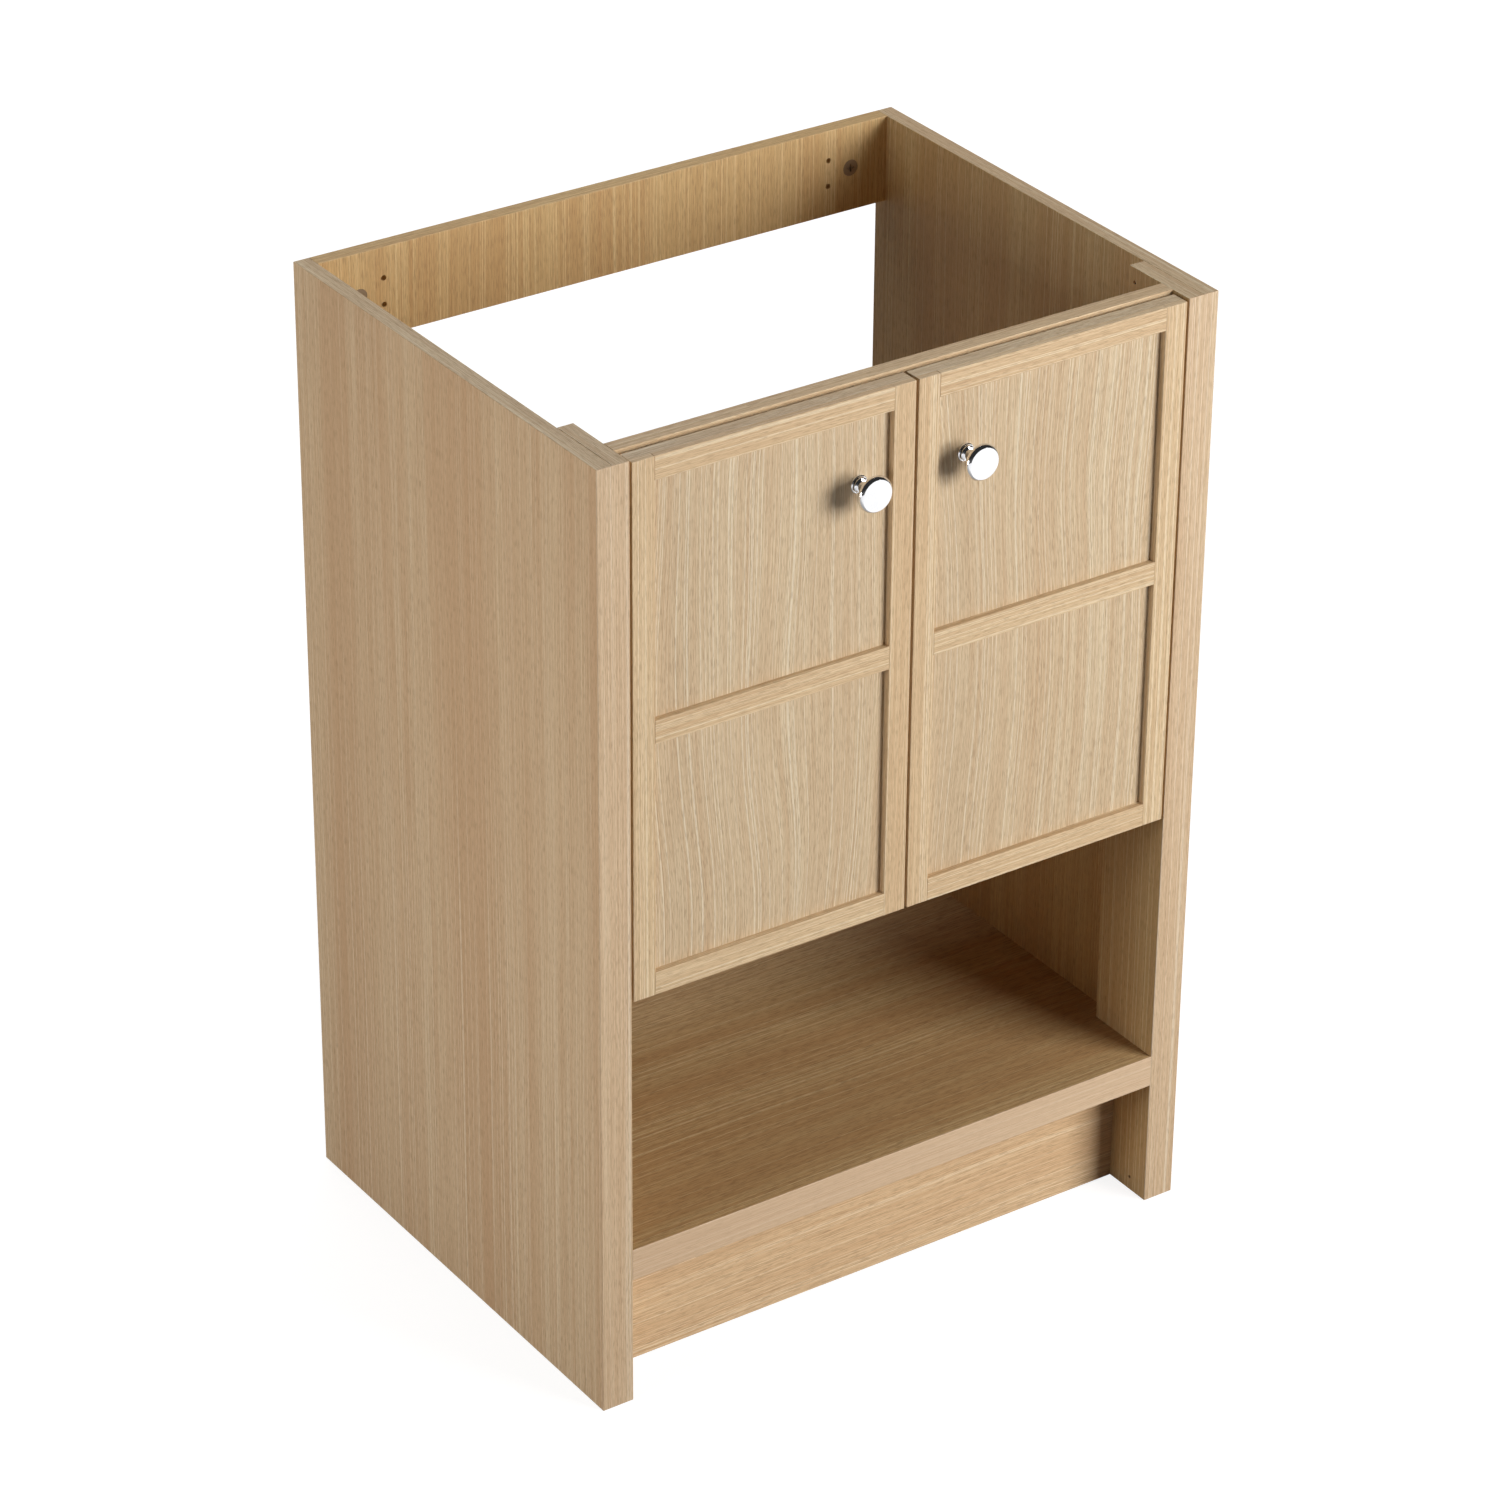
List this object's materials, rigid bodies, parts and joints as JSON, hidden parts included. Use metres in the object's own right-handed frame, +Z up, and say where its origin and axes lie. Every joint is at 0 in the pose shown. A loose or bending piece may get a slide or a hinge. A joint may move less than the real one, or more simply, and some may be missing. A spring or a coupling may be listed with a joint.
{
  "type": "vanity unit",
  "caption": "Freestanding bathroom vanity cabinet in light oak with inset framed doors, chrome knobs, open lower shelf and recessed toe kick; open top for a basin.",
  "frame": {"origin": "on the floor, in the middle of the footprint that carcass and knobs take up together", "axes": "+X to the right seen from the front, +Y from the front to the back (wall), +Z up"},
  "size_m": [0.6, 0.481, 0.877],
  "materials": {
    "oak_upright": "matt light oak laminate, grain upright",
    "oak_across": "matt light oak laminate, grain across the width",
    "oak_panel": "matt light oak laminate, streaky upright grain",
    "beech": "plain beech",
    "chrome": "polished chrome",
    "hinge_steel": "nickel-plated pressed steel",
    "fastener_steel": "zinc-plated steel",
    "zinc_cam": "dull cast zinc",
    "clear_rubber": "soft translucent pad"
  },
  "bodies": {
    "carcass": {"bottom_shelf": "oak_across", "cabinet_floor": "oak_across", "cam_bolts": "fastener_steel", "cam_locks": "zinc_cam", "dowels": "beech", "filler_screws": "fastener_steel", "hinge_arm_screws": "fastener_steel", "hinge_plate_screws": "fastener_steel", "left_front_edge_band": "oak_upright", "left_front_filler": "oak_upright", "left_hinge_arm_pins": "fastener_steel", "left_hinge_arms": "hinge_steel", "left_hinge_plates": "hinge_steel", "left_side_panel": "oak_upright", "right_front_edge_band": "oak_upright", "right_front_filler": "oak_upright", "right_hinge_arm_pins": "fastener_steel", "right_hinge_arms": "hinge_steel", "right_hinge_plates": "hinge_steel", "right_side_panel": "oak_upright", "shelf_front_edge_band": "oak_across", "shelf_front_filler": "oak_across", "toe_kick": "oak_across", "top_back_rail": "oak_upright", "top_front_rail": "oak_across"},
    "left_hinge_link": {"left_hinge_links": "hinge_steel"},
    "left_door": {"left_door_bottom_rail": "oak_across", "left_door_bumpers": "clear_rubber", "left_door_cup_screws": "fastener_steel", "left_door_hinge_stile": "oak_upright", "left_door_knob": "chrome", "left_door_knob_screw": "fastener_steel", "left_door_meeting_stile": "oak_upright", "left_door_middle_rail": "oak_across", "left_door_slab": "oak_panel", "left_door_top_rail": "oak_across", "left_hinge_cup_pins": "fastener_steel", "left_hinge_cups": "hinge_steel"},
    "right_hinge_link": {"right_hinge_links": "hinge_steel"},
    "right_door": {"right_door_bottom_rail": "oak_across", "right_door_bumpers": "clear_rubber", "right_door_cup_screws": "fastener_steel", "right_door_hinge_stile": "oak_upright", "right_door_knob": "chrome", "right_door_knob_screw": "fastener_steel", "right_door_meeting_stile": "oak_upright", "right_door_middle_rail": "oak_across", "right_door_slab": "oak_panel", "right_door_top_rail": "oak_across", "right_hinge_cup_pins": "fastener_steel", "right_hinge_cups": "hinge_steel"}
  },
  "joints": [
    {"name": "left_link_turn", "type": "hinge", "parent": "carcass", "child": "left_hinge_link", "pos_m": [-0.23398, -0.19509, 0.633], "axis": [0, 0, 1], "range_deg": [0, 42]},
    {"name": "left_door_turn", "type": "hinge", "parent": "left_hinge_link", "child": "left_door", "pos_m": [-0.25364, -0.20675, 0.633], "axis": [0, 0, -1], "range_deg": [0, 136.8]},
    {"name": "right_link_turn", "type": "hinge", "parent": "carcass", "child": "right_hinge_link", "pos_m": [0.23398, -0.19509, 0.633], "axis": [0, 0, -1], "range_deg": [0, 42]},
    {"name": "right_door_turn", "type": "hinge", "parent": "right_hinge_link", "child": "right_door", "pos_m": [0.25364, -0.20675, 0.633], "axis": [0, 0, 1], "range_deg": [0, 136.8]}
  ],
  "couplings": [
    {"joint": "left_link_turn", "follows": "left_door_turn", "ratio": 0.30556},
    {"joint": "right_link_turn", "follows": "right_door_turn", "ratio": 0.30556}
  ]
}
